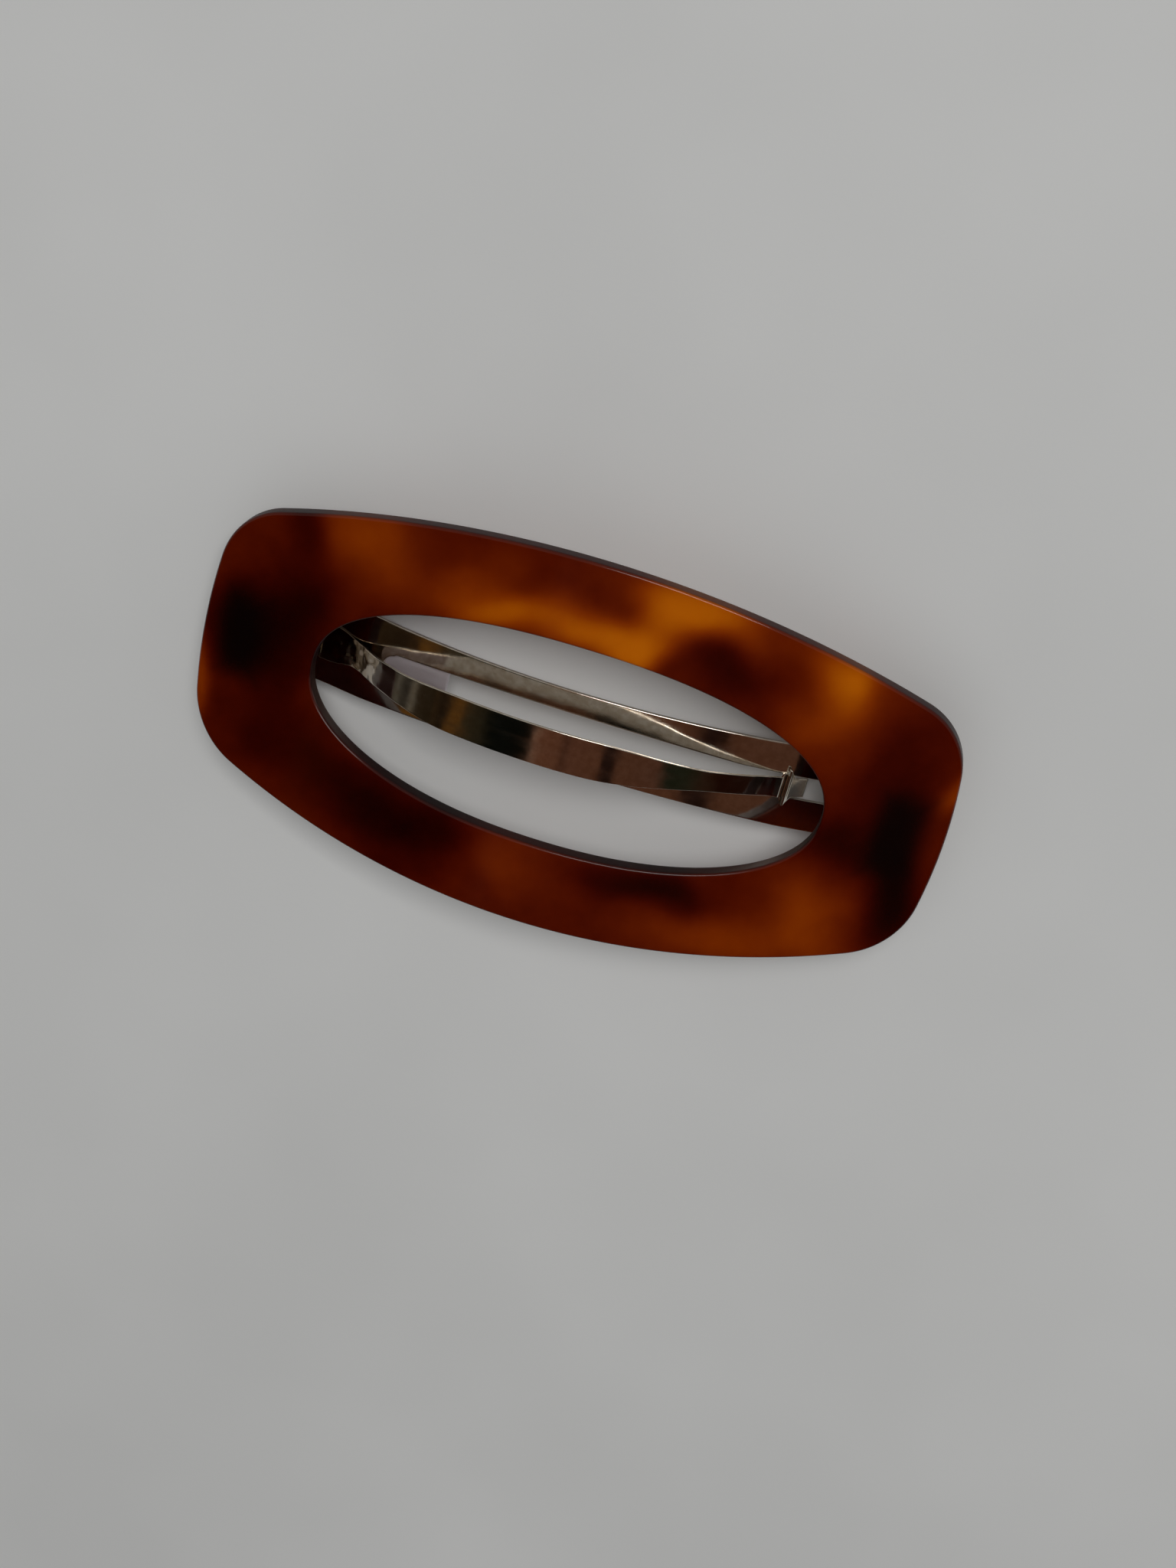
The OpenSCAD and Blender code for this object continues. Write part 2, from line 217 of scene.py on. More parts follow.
def fillTheRoom(look):
    # matt surfaces gather one even pale tint; polished ones mirror a dim room with upright bands
    world = bpy.data.worlds.new("room")
    world.use_nodes = True
    tree = world.node_tree
    tree.nodes.clear()
    direction = addNode(tree, "ShaderNodeTexCoord")
    parts = addNode(tree, "ShaderNodeSeparateXYZ", links={0: direction.outputs["Generated"]})
    sideways = addNode(tree, "ShaderNodeMapRange", {"From Min": -1.0},
                       {"Value": parts.outputs["X"]})
    bands = rampStops(addNode(tree, "ShaderNodeValToRGB", links={"Fac": sideways.outputs[0]}),
                      [(0.5 + 0.5 * place, tint) for place, tint in look["bands"]])
    viewerSide = addNode(tree, "ShaderNodeMapRange",
                         {"From Min": look["turnsAt"][0], "From Max": look["turnsAt"][1]},
                         {"Value": parts.outputs["Y"]})
    even = addNode(tree, "ShaderNodeBackground",
                   {"Color": linearColour(look["tint"]), "Strength": look["level"]})
    plain = addNode(tree, "ShaderNodeBackground",
                    {"Color": linearColour(look["mirrorTint"]), "Strength": look["mirrorLevel"]})
    banded = addNode(tree, "ShaderNodeBackground", {"Strength": look["bandLevel"]},
                     {"Color": bands.outputs[0]})
    mirrored = addNode(tree, "ShaderNodeMixShader", links={
        0: viewerSide.outputs[0], 1: plain.outputs[0], 2: banded.outputs[0]})
    ray = addNode(tree, "ShaderNodeLightPath")
    both = addNode(tree, "ShaderNodeMixShader", links={
        0: ray.outputs["Is Glossy Ray"], 1: even.outputs[0], 2: mirrored.outputs[0]})
    addNode(tree, "ShaderNodeOutputWorld", links={"Surface": both.outputs[0]})
    bpy.context.scene.world = world


lightTheScene()
fillTheRoom(roomLook)
bpy.context.scene.view_settings.view_transform = "Standard"
print("lights placed")

floorLook = {
    "size": 4.0, "fibre": 0.0012,                  # metres
    "cloudsPerMetre": 14.0,
    "pale": "#eaeae8", "shade": "#e3e3e1", "fibreDepth": 0.0001, "rough": 0.75,
}


def layFloor(look):
    # painted board: matt, with faint cloudiness and a fine fibre under the paint
    material, tree = newMaterial("mattPaintedBoard")
    place = addNode(tree, "ShaderNodeTexCoord")
    clouds = addNode(tree, "ShaderNodeTexNoise", {"Scale": look["cloudsPerMetre"], "Detail": 3.0},
                     {"Vector": place.outputs["Object"]})
    tint = rampStops(addNode(tree, "ShaderNodeValToRGB", links={"Fac": clouds.outputs[0]}),
                     [(0.35, look["shade"]), (0.65, look["pale"])])
    fibre = addNode(tree, "ShaderNodeTexNoise", {"Scale": 1 / look["fibre"], "Detail": 4.0},
                    {"Vector": place.outputs["Object"]})
    bump = addNode(tree, "ShaderNodeBump", {"Strength": 0.12, "Distance": look["fibreDepth"]},
                   {"Height": fibre.outputs[0]})
    shader = addNode(tree, "ShaderNodeBsdfPrincipled",
                     {"Roughness": look["rough"], "Specular IOR Level": 0.25},
                     {"Base Color": tint.outputs[0], "Normal": bump.outputs[0]})
    addNode(tree, "ShaderNodeOutputMaterial", links={"Surface": shader.outputs[0]})
    half = look["size"] / 2
    mesh = bpy.data.meshes.new("floor")
    mesh.from_pydata([(-half, -half, 0), (half, -half, 0), (half, half, 0), (-half, half, 0)],
                     [], [(0, 1, 2, 3)])
    mesh.materials.append(material)
    floor = bpy.data.objects.new("floor", mesh)
    bpy.context.scene.collection.objects.link(floor)


layFloor(floorLook)
print("floor laid")

plateShape = {                    # mm
    "length": 94.4, "width": 47.2, "endWidth": 34.6, "endBulge": 0.5,
    "cornerRadius": 9.8, "thickness": 2.3, "bowRadius": 170.0, "frontHeight": 15.6,
    "windowLength": 64.2, "windowWidth": 26.0, "windowPower": 2.2,
    "frontEdge": 0.40, "backEdge": 0.35,
    "stepsPerQuarter": 170, "stepsAcross": 40, "stepsOnEdge": 7,
    "patternLean": (0.25, -0.35),  # mm sideways for each mm of depth
    # painted shadow over the bracket feet: how dark, how soft its edge in mm, how deep in mm
    "paintedShadowDark": 0.88, "paintedShadowSoft": 2.2, "paintedShadowDepth": 1.5,
    # painted shade on the side walls: how dark, and how fast it grows with edgeOn
    "paintedEdgeShadeLevel": 0.8, "paintedEdgeShadeGain": 1.4, "sideFrom": 0.45, "sideOver": 0.4,
}
# pools of colour through the sheet: x, y, half length, half width, turn in degrees, change of tone
colourPools = [
    # clear amber
    (-11.0, 14.0, 6.0, 2.4, 4, 0.46), (3, 15.2, 6.5, 2.8, -4, 0.56),
    (12.5, 21.4, 7.5, 3.0, -12, 0.54), (8, 17.8, 3.5, 2.8, 50, 0.34),
    (30.5, 17.5, 3.8, 5.5, -12, 0.34), (-28.5, 17.0, 6.0, 4.5, 15, 0.28),
    (27.5, 20.0, 5.0, 2.6, -30, 0.16), (29, 10.5, 5.0, 5.0, 30, 0.08),
    (25, 12, 3.4, 2.6, -30, 0.12), (-46.6, -6.5, 1.3, 6.0, 6, 0.25),
    (46.2, 8.0, 1.5, 4.0, -6, 0.26), (34.5, -13.5, 7.0, 4.4, -40, 0.28),
    (25, -18.5, 8.5, 3.2, 10, 0.22), (38, -17.5, 4.0, 3.0, 30, 0.16),
    (-2.5, -16.5, 4.0, 4.4, 60, 0.14), (29, -8.5, 4.0, 4.0, -30, 0.04),
    (-20, 14.2, 5.0, 3.0, 10, 0.11), (-4, 14.6, 3.5, 2.2, 0, 0.14),
    (-11, 20.5, 5.0, 2.6, 4, 0.06), (-2, 19.5, 12.0, 4.0, 0, 0.04),
    (34, 17, 5.0, 4.0, -30, 0.10), (32.5, 19.2, 2.6, 2.4, -20, 0.12),
    (-14, 17.2, 3.5, 1.6, 4, 0.14),
    # dark brown and near black
    (15, 14.8, 4.6, 3.4, -6, -0.12), (19, 14.8, 7.0, 3.2, -6, -0.07),
    (-4.5, 20.6, 5.0, 2.4, -4, -0.04), (-35.5, 9, 5.0, 4.0, -40, -0.12),
    (-38, 1.5, 7.0, 6.5, 0, -0.33), (-20, -14.5, 9.5, 4.8, -10, -0.26),
    (-36, -11, 8.0, 5.0, -12, -0.15), (14, -14.4, 7.0, 2.1, 2, -0.24),
    (40.5, 12, 4.5, 5.0, -30, -0.07), (36.5, 6, 3.5, 5.0, 0, -0.10),
    (36, -3.0, 5.5, 3.4, -10, -0.20), (42.5, -9.5, 3.4, 6.5, -6, -0.30),
    # the pools at (-43, 2) and (42, 0) lie over the bracket feet: dark pigment there, and painted
    # shade that widens the feet's painted shadow
    (-43, 2, 3.0, 5.0, 0, -0.18), (-16, -21.5, 9.0, 2.4, 8, -0.08),
    (42, 0, 3.2, 6.0, 0, -0.34), (-36, 16.2, 3.6, 3.0, -20, -0.16),
    (-12.5, -16, 4.0, 3.2, 0, -0.11), (37.5, -16, 3.4, 3.6, 20, -0.15),
    (18.5, -15.8, 3.6, 2.2, 6, -0.13), (8.6, 14.2, 2.4, 2.0, 0, -0.20),
]
baseTone = 0.38


def wholeLoop(quadrant, normals):
    # a quarter from the +X axis to the +Y axis, mirrored into the whole closed loop
    flipX, flipY = np.array([-1, 1]), np.array([1, -1])
    loops = []
    for part in (quadrant, normals):
        loops.append(np.concatenate([part[:-1], (part * flipX)[:0:-1], (part * flipX * flipY)[:-1],
                                     (part * flipY)[:0:-1]]))
    return loops


def outlineLoop(shape):
    # an end arc, a corner arc and a side arc share one turning angle, so the outward normal is
    # (cos, sin) of that angle, and equal steps of length give the angle
    corner = shape["cornerRadius"]
    centreX = shape["length"] / 2 - shape["endBulge"] - corner
    centreY = shape["endWidth"] / 2 - corner
    rise = (shape["width"] - shape["endWidth"]) / 2
    sideIn = (centreX ** 2 + rise ** 2) / (2 * rise)
    endIn = (centreY ** 2 + shape["endBulge"] ** 2) / (2 * shape["endBulge"])
    turns = np.array([0, np.arcsin(centreY / endIn),
                      quarter - np.arcsin(centreX / sideIn), quarter])
    radii = np.array([endIn + corner, corner, sideIn + corner])
    lengths = np.concatenate([[0], np.cumsum(radii * np.diff(turns))])
    turn = np.interp(np.linspace(0, lengths[-1], shape["stepsPerQuarter"] + 1), lengths, turns)
    part = np.clip(np.searchsorted(turns, turn, side="right") - 1, 0, 2)
    centres = np.array([[shape["length"] / 2 - radii[0], 0], [centreX, centreY],
                        [0, shape["width"] / 2 - radii[2]]])
    normal = np.stack([np.cos(turn), np.sin(turn)], -1)
    normal[0], normal[-1] = (1, 0), (0, 1)
    return wholeLoop(centres[part] + radii[part, None] * normal, normal)


def windowLoop(shape):
    # a superellipse, |x/a|^p + |y/b|^p = 1, at equal steps of length; the normal is its gradient
    a, b, p = shape["windowLength"] / 2, shape["windowWidth"] / 2, shape["windowPower"]
    angle = np.linspace(0, quarter, 4001)
    x, y = a * np.cos(angle) ** (2 / p), b * np.sin(angle) ** (2 / p)
    along = np.concatenate([[0], np.cumsum(np.hypot(np.diff(x), np.diff(y)))])
    wanted = np.linspace(0, along[-1], shape["stepsPerQuarter"] + 1)
    x, y = np.interp(wanted, along, x), np.interp(wanted, along, y)
    x[-1], y[0] = 0, 0
    gradient = np.stack([(x / a) ** (p - 1) / a, (y / b) ** (p - 1) / b], -1)
    return wholeLoop(np.stack([x, y], -1), gradient / np.linalg.norm(gradient, axis=1)[:, None])


def plateSection(shape):
    # columns once round the section, each a share across, an inset from the window, an inset
    # from the outline and a depth; the four edges are quarter circles
    thick, front, back = shape["thickness"], shape["frontEdge"], shape["backEdge"]
    sine, cosine = roundSteps(shape["stepsOnEdge"])
    zero, one = np.zeros_like(sine), np.ones_like(sine)
    share = np.linspace(0, 1, shape["stepsAcross"] + 1)[1:-1]
    backShare = np.linspace(1, 0, shape["stepsAcross"] // 2 + 1)[1:-1]
    wall = np.linspace(front, thick - back, 4)[1:-1]
    parts = [
        (zero, front * (1 - sine[::-1]), zero, front * (1 - cosine[::-1])),
        (share, front + 0 * share, front + 0 * share, 0 * share),
        (one, zero, front * (1 - sine), front * (1 - cosine)),
        (1 + 0 * wall, 0 * wall, 0 * wall, wall),
        (one, zero, back * (1 - sine[::-1]), thick - back * (1 - cosine[::-1])),
        (backShare, back + 0 * backShare, back + 0 * backShare, thick + 0 * backShare),
        (zero, back * (1 - sine), zero, thick - back * (1 - cosine)),
        (0 * wall, 0 * wall, 0 * wall, wall[::-1]),
    ]
    return [np.concatenate(column) for column in zip(*parts)]


def plateSurface(shape):
    # every loop point carries the section from the window's edge to the outline and back, and the
    # height is that of a cylinder lying along Y: z = centre + sqrt((radius - depth)^2 - x^2)
    outer, outerNormal = outlineLoop(shape)
    inner, innerNormal = windowLoop(shape)
    share, insetIn, insetOut, depth = plateSection(shape)
    start = inner[:, None] + innerNormal[:, None] * insetIn[None, :, None]
    stop = outer[:, None] - outerNormal[:, None] * insetOut[None, :, None]
    flat = start + share[None, :, None] * (stop - start)
    centre = shape["frontHeight"] - shape["bowRadius"]
    height = centre + np.sqrt((shape["bowRadius"] - depth[None, :]) ** 2 - flat[..., 0] ** 2)
    points = np.concatenate([flat, height[..., None]], -1)
    rows, columns = points.shape[:2]
    # one more row of faces joins the last row to the first
    faces = gridFaces(rows + 1, columns, True) % (rows * columns)
    return points.reshape(-1, 3), faces.tolist()


def poolTone(x, y):
    # the base tone plus one smooth bell for each pool, on a slightly swirled copy of the plane
    swirlX = x + 0.9 * np.sin(y * 0.31 + 1.3) + 0.5 * np.sin(x * 0.47 + y * 0.23)
    swirlY = y + 0.8 * np.sin(x * 0.27 + 0.4) + 0.4 * np.sin(x * 0.61 - y * 0.35 + 2.0)
    tone = np.full_like(x, baseTone)
    for poolX, poolY, halfLong, halfWide, degrees, change in colourPools:
        turn = np.radians(degrees)
        across = (swirlX - poolX) * np.cos(turn) + (swirlY - poolY) * np.sin(turn)
        beside = (swirlY - poolY) * np.cos(turn) - (swirlX - poolX) * np.sin(turn)
        tone += change * np.exp(-((across / halfLong) ** 2 + (beside / halfWide) ** 2) ** 1.2)
    return tone


def paintedBracketShadow(x, y, depth, node, shape):
    # painted shadow: dark over a bracket's foot, where the foot behind the sheet blocks the light,
    # nothing away from it, and only in the front half of the sheet
    low, high = (np.array(corner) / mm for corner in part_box(node))
    middle, half = (low + high) / 2, (high - low) / 2
    reach = np.maximum(np.abs(x - middle[0]) - half[0], np.abs(y - middle[1]) - half[1])
    share = np.clip(0.5 - reach / (2 * shape["paintedShadowSoft"]), 0, 1)
    smooth = share * share * (3 - 2 * share)
    return shape["paintedShadowDark"] * smooth * np.clip(shape["paintedShadowDepth"] - depth, 0, 1)


def acetateMaterial():
    # tortoiseshell cellulose acetate, block pressed, then tumbled and wheel polished: honey and
    # brown run into each other below a glassy skin with hair-fine handling marks
    material, tree = newMaterial("tumblePolishedTortoiseshellAcetate")
    place = addNode(tree, "ShaderNodeTexCoord")
    tone = addNode(tree, "ShaderNodeAttribute", {"attribute_name": "tone"})
    shade = addNode(tree, "ShaderNodeAttribute", {"attribute_name": "shade"})
    # pigment clouds about 5 mm across, and a fine 1 mm mottle inside them
    cloud = addNode(tree, "ShaderNodeTexNoise", {"Scale": 190.0, "Detail": 4.0, "Roughness": 0.55},
                    {"Vector": place.outputs["Object"]})
    clouded = addNode(tree, "ShaderNodeMath", {"operation": "MULTIPLY_ADD", 1: 0.16, 2: -0.08},
                      {0: cloud.outputs[0]})
    summed = addNode(tree, "ShaderNodeMath", {"operation": "ADD"},
                     {0: tone.outputs["Fac"], 1: clouded.outputs[0]})
    colour = rampStops(addNode(tree, "ShaderNodeValToRGB", {}, {"Fac": summed.outputs[0]}),
                       [(0.0, "#070101"), (0.16, "#260200"), (0.32, "#470600"), (0.50, "#742001"),
                        (0.70, "#9e3e00"), (0.86, "#bf5e00"), (1.0, "#d47004")])
    colour.color_ramp.interpolation = "B_SPLINE"
    # painted shade: the 'shade' corners pull the colour towards near black over the bracket feet
    # and on the side walls
    paintedShadeMix = addNode(tree, "ShaderNodeMix", {"data_type": "RGBA"},
                       {"Factor": shade.outputs["Fac"]})
    tree.links.new(colour.outputs[0], paintedShadeMix.inputs[6])
    paintedShadeMix.inputs[7].default_value = linearColour("#0a0303")
    # polishing leaves a slow ripple of a few mm; handling leaves scratches 0.1 mm wide
    ripple = addNode(tree, "ShaderNodeTexNoise", {"Scale": 120.0, "Detail": 1.0},
                     {"Vector": place.outputs["Object"]})
    stretch = addNode(tree, "ShaderNodeMapping", {"Scale": (260.0, 2600.0, 260.0),
                                                  "Rotation": (0.0, 0.0, 0.5)},
                      {"Vector": place.outputs["Object"]})
    scratch = addNode(tree, "ShaderNodeTexNoise", {"Scale": 1.0, "Detail": 2.0},
                      {"Vector": stretch.outputs[0]})
    scratchMask = addNode(tree, "ShaderNodeMapRange",
                          {"From Min": 0.74, "From Max": 0.84}, {"Value": scratch.outputs[0]})
    scratched = addNode(tree, "ShaderNodeMapRange", {"To Min": 0.10, "To Max": 0.22},
                        {"Value": scratchMask.outputs[0]})
    # the sawn sides are only tumbled, so they are duller than the wheel polished faces
    side = addNode(tree, "ShaderNodeAttribute", {"attribute_name": "side"})
    rough = addNode(tree, "ShaderNodeMath", {"operation": "MULTIPLY_ADD", 1: 0.4},
                    {0: side.outputs["Fac"], 2: scratched.outputs[0]})
    skin = addNode(tree, "ShaderNodeMapRange", {"To Min": 0.10, "To Max": 0.0},
                   {"Value": side.outputs["Fac"]})
    bump = addNode(tree, "ShaderNodeBump", {"Strength": 0.18, "Distance": 0.0003},
                   {"Height": ripple.outputs[0]})
    shader = addNode(tree, "ShaderNodeBsdfPrincipled",
                     {"IOR": 1.48, "Specular IOR Level": 0.2, "Subsurface Weight": 0.25,
                      "Subsurface Scale": 0.0010, "Subsurface Radius": (1.0, 0.35, 0.08),
                      "Coat Roughness": 0.04, "Coat IOR": 1.48},
                     {"Base Color": paintedShadeMix.outputs[2], "Roughness": rough.outputs[0],
                      "Coat Weight": skin.outputs[0], "Normal": bump.outputs[0]})
    addNode(tree, "ShaderNodeOutputMaterial", links={"Surface": shader.outputs[0]})
    return material


def buildPlate(shape):
    # edgeOn is 1 - |normal . bow's radius|: nothing on the two faces and 1 on the side walls
    plate = makePiece("acetatePlate", [plateSurface(shape)], acetateMaterial(), "plate",
                      ["plate"])
    mesh = plate.data
    x, y, z = cornersOf(plate)
    centre = shape["frontHeight"] - shape["bowRadius"]
    depth = shape["bowRadius"] - np.hypot(x, z - centre)
    # painted shade on the side walls: their colour is pulled darker than the faces', the more
    # edge-on the darker
    normals = np.zeros(len(mesh.vertices) * 3)
    mesh.vertex_normals.foreach_get("vector", normals)
    bow = np.stack([x, 0 * x, z - centre], -1) / (shape["bowRadius"] - depth)[:, None]
    edgeOn = 1 - np.abs((normals.reshape(-1, 3) * bow).sum(1))
    # the pattern leans a little through the thickness, as a sawn block's layers do
    leanX, leanY = shape["patternLean"]
    # painted shadow of the bracket feet, seen through the sheet
    shade = np.maximum(paintedBracketShadow(x, y, depth, "hinge_bracket", shape),
                       paintedBracketShadow(x, y, depth, "clasp_base", shape))
    paintedEdgeShade = shape["paintedEdgeShadeLevel"] * np.clip(edgeOn * shape["paintedEdgeShadeGain"], 0, 1)
    markCorners(plate, "tone", poolTone(x + leanX * depth, y + leanY * depth))
    # the 'shade' corners carry both painted shadows, the bracket feet's and the side walls'
    markCorners(plate, "shade", np.maximum(shade, paintedEdgeShade))
    markCorners(plate, "side", np.clip((edgeOn - shape["sideFrom"]) / shape["sideOver"], 0, 1))


buildPlate(plateShape)
print("plate made")

platingLook = {
    "bright": "#dcd6cc", "warm": "#cdc2b3",
    "brightRough": 0.07, "dullRough": 0.24, "roughSpread": 0.07,
    "satin": "#e6e0e8", "satinRough": 0.42,
    # painted shade on the crimped foot and neck
    "paintedNeckShade": "#8a7a68",
}


def platedSteel(name, look, dull=0.0, grain=(1.0, 1.0, 1.0)):
    # strip steel, barrel polished and nickel plated: a warm mirror with slow ripples from the
    # stamping, fine rolling lines and a faint bloom where it has been handled
    material, tree = newMaterial(name)
    place = addNode(tree, "ShaderNodeTexCoord")
    bloom = addNode(tree, "ShaderNodeTexNoise", {"Scale": 1100.0, "Detail": 5.0, "Roughness": 0.62},
                    {"Vector": place.outputs["Object"]})
    tint = rampStops(addNode(tree, "ShaderNodeValToRGB", links={"Fac": bloom.outputs[0]}),
                     [(0.38, look["warm"]), (0.62, look["bright"])])
    # the folded flap was never polished: the attribute marks it, and it is a matt lavender grey
    satin = addNode(tree, "ShaderNodeAttribute", {"attribute_name": "satin"})
    toned = addNode(tree, "ShaderNodeMix", {"data_type": "RGBA"},
                    {"Factor": satin.outputs["Fac"], 6: tint.outputs[0]})
    toned.inputs[7].default_value = linearColour(look["satin"])
    # the crimped foot and neck are painted a darker brown: painted shade, and the attribute marks
    # them
    crimped = addNode(tree, "ShaderNodeAttribute", {"attribute_name": "crimped"})
    neckShadePainted = addNode(tree, "ShaderNodeMix", {"data_type": "RGBA"},
                     {"Factor": crimped.outputs["Fac"], 6: toned.outputs[2]})
    neckShadePainted.inputs[7].default_value = linearColour(look["paintedNeckShade"])
    lines = addNode(tree, "ShaderNodeMapping", {"Scale": grain},
                    {"Vector": place.outputs["Object"]})
    rolled = addNode(tree, "ShaderNodeTexNoise", {"Scale": 900.0, "Detail": 3.0},
                     {"Vector": lines.outputs[0]})
    bright, dullest = look["brightRough"], look["dullRough"]
    rough = addNode(tree, "ShaderNodeMapRange",
                    {"From Min": 0.35, "From Max": 0.75,
                     "To Min": bright + dull * (dullest - bright),
                     "To Max": bright + look["roughSpread"] + dull * dullest},
                    {"Value": rolled.outputs[0]})
    rougher = addNode(tree, "ShaderNodeMath", {"operation": "MULTIPLY_ADD", 1: look["satinRough"]},
                      {0: satin.outputs["Fac"], 2: rough.outputs[0]})
    ripple = addNode(tree, "ShaderNodeTexNoise", {"Scale": 260.0, "Detail": 1.5},
                     {"Vector": place.outputs["Object"]})
    slow = addNode(tree, "ShaderNodeBump", {"Strength": 0.10, "Distance": 0.0003},
                   {"Height": ripple.outputs[0]})
    # the crimped foot and neck are dented all over
    dents = addNode(tree, "ShaderNodeTexNoise", {"Scale": 430.0, "Detail": 1.0},
                    {"Vector": place.outputs["Object"]})
    dented = addNode(tree, "ShaderNodeBump", {"Distance": 0.0004},
                     {"Strength": crimped.outputs["Fac"], "Height": dents.outputs[0],
                      "Normal": slow.outputs[0]})
    fine = addNode(tree, "ShaderNodeBump", {"Strength": 0.05 + 0.25 * dull, "Distance": 0.00004},
                   {"Height": rolled.outputs[0], "Normal": dented.outputs[0]})
    shader = addNode(tree, "ShaderNodeBsdfPrincipled", {"Metallic": 1.0},
                     {"Base Color": neckShadePainted.outputs[2], "Roughness": rougher.outputs[0],
                      "Normal": fine.outputs[0]})
    addNode(tree, "ShaderNodeOutputMaterial", links={"Surface": shader.outputs[0]})
    return material


def stripSurface(path, normal, inner, outer, inset, thick, edge, columns):
    # a strip carried along a path in X and Z: at each row the half section runs from the inner
    # half width to the outer one, with edges rounded to quarter circles, and a hole is where the
    # inner half width is above nothing; the other half is its mirror image across Y
    sine, cosine = roundSteps(3)
    zero, one = np.zeros(3), np.ones(3)
    share = np.linspace(0, 1, columns)
    support = np.array([0.0, 0.12])            # mm, loops beside each rounded edge
    opening = 0.3                              # mm, where a hole's edge reaches its full roundness
    # a column is a share across, how far it is in from the edge's roundness and from its support
    # loop, its depth, and how much of the edge's radius it drops
    top = np.concatenate([[0, 0], share[1:-1], [1, 1]])
    insetTop = np.concatenate([support, np.full(columns - 2, support[1]), support[::-1]])
    parts = [
        (top, 1 + 0 * top, insetTop, 0 * top, 0 * top),
        (one, 1 - sine[1:], zero, zero, 1 - cosine[1:]),
        (one, 1 - sine[:0:-1], zero, one, cosine[:0:-1] - 1),
        (top[::-1], 1 + 0 * top, insetTop[::-1], 1 + 0 * top, 0 * top),
        (zero, 1 - sine[1:], zero, one, cosine[1:] - 1),
        (zero, 1 - sine[:0:-1], zero, zero, 1 - cosine[:0:-1]),
    ]
    share, turnIn, insetIn, deep, drop = (np.concatenate(part) for part in zip(*parts))
    flatCount = len(top)
    wallStart = 2 * flatCount + 6               # the inner wall's first column
    opened = np.clip(inner / opening, 0, 1)[:, None]
    innerEdge = edge * opened
    outerEdge = np.full_like(innerEdge, edge)
    low = inner[:, None] + innerEdge * turnIn + opened * insetIn
    high = outer[:, None] - outerEdge * turnIn - insetIn
    y = np.where(share[None, :] > 0.999, high, np.where(share[None, :] < 0.001, low,
                 low + share[None, :] * (high - low)))
    edgeHere = np.where(share[None, :] > 0.5, outerEdge, innerEdge)
    room = thick - 2 * inset[:, None]
    depth = inset[:, None] + deep[None, :] * room + edgeHere * drop[None, :]
    x = path[:, 0, None] - normal[:, 0, None] * depth
    z = path[:, 1, None] - normal[:, 1, None] * depth
    half = np.stack([x, y, z], -1)
    rows, count = half.shape[:2]
    faces = gridFaces(rows, count, True)
    column = faces[:, 0] % count
    row = faces[:, 0] // count
    closedHere = (inner[row] <= 0) & (inner[row + 1] <= 0) & (column >= wallStart - 1)
    faces = faces[~closedHere]
    mirrored = half * (1, -1, 1)
    caps = [list(range(count))[::-1], [(rows - 1) * count + i for i in range(count)]]
    first = [face[::-1] for face in faces.tolist()] + [cap[::-1] for cap in caps]
    second = faces.tolist() + caps
    return [(half.reshape(-1, 3), first), (mirrored.reshape(-1, 3), second)]


def pathNormals(path, side):
    # the tangent by central differences, turned a quarter turn to the given side
    tangent = np.gradient(path, axis=0)
    tangent /= np.linalg.norm(tangent, axis=1)[:, None]
    return side * np.stack([-tangent[:, 1], tangent[:, 0]], -1)


def holeHalf(x, start, stop, wide, corner):
    # half width of a hole whose ends are closed by quarter circles of the corner's radius
    away = np.clip(np.minimum(x - start, stop - x), 0, corner)
    inside = (x > start + hair) & (x < stop - hair)
    rounded = np.sqrt(np.maximum(corner ** 2 - (corner - away) ** 2, 0))
    return np.where(inside, wide - corner + rounded, 0)


def waist(x, middle, end, span):
    # a parabola from the middle's half width to the end's, and level past the span
    return middle + (end - middle) * np.minimum(1, (x / span) ** 2)


armShape = {                      # mm
    "topHeight": 8.80, "bowRadius": 103.0, "bowHalf": 31.0, "bendRadius": 20.0, "endHeight": 3.10,
    "thick": 0.6, "edge": 0.09, "halfMiddle": 5.05, "halfEnd": 5.55, "stop": 46.2, "endCorner": 2.0,
    "wideStart": -38.5, "knuckleHalf": 4.0, "knuckleX": -41.2, "pinHeight": 1.65,
    "knuckleIn": 0.85, "slotStart": -24.9, "slotStop": 34.6, "slotMiddle": 2.25, "slotEnd": 1.5,
    "catchStart": 39.0, "catchStop": 44.4, "catchHalf": 3.5, "slitX": -33.7, "slitHalf": 0.45,
    "slitWide": 1.8, "flapStop": -16.3, "flapGap": 0.12, "holeCorner": 0.5, "slitCorner": 0.2,
    "shoulderCorner": 0.5, "flapCorner": 0.8, "waistSpan": 27.0, "slotWaistX": -3.0,
    "slotWaistSpan": 24.0, "stepAlong": 0.5, "columns": 9,
}


def armTop(x, shape=armShape):
    # a long arc of the bow's radius, a short reverse arc, and level ends
    bend = np.arcsin(shape["bowHalf"] / shape["bowRadius"])
    bendEnd = shape["bowHalf"] + shape["bendRadius"] * np.sin(bend)
    reach = np.abs(x)
    bow = shape["topHeight"] - shape["bowRadius"] + np.sqrt(
        shape["bowRadius"] ** 2 - np.minimum(reach, shape["bowHalf"]) ** 2)
    rest = np.clip(bendEnd - reach, 0, None)
    reverse = shape["endHeight"] + shape["bendRadius"] - np.sqrt(
        np.maximum(shape["bendRadius"] ** 2 - np.minimum(rest, shape["bendRadius"]) ** 2, 0))
    return np.where(reach <= shape["bowHalf"], bow, reverse)


def clustered(start, stop, corner, steps=9):
    # closer steps towards both ends of a hole, where its corners turn
    into = corner * (1 - np.cos(np.linspace(0, quarter, steps)))
    return np.concatenate([start + into, stop - into, [start - 0.03, stop + 0.03]])


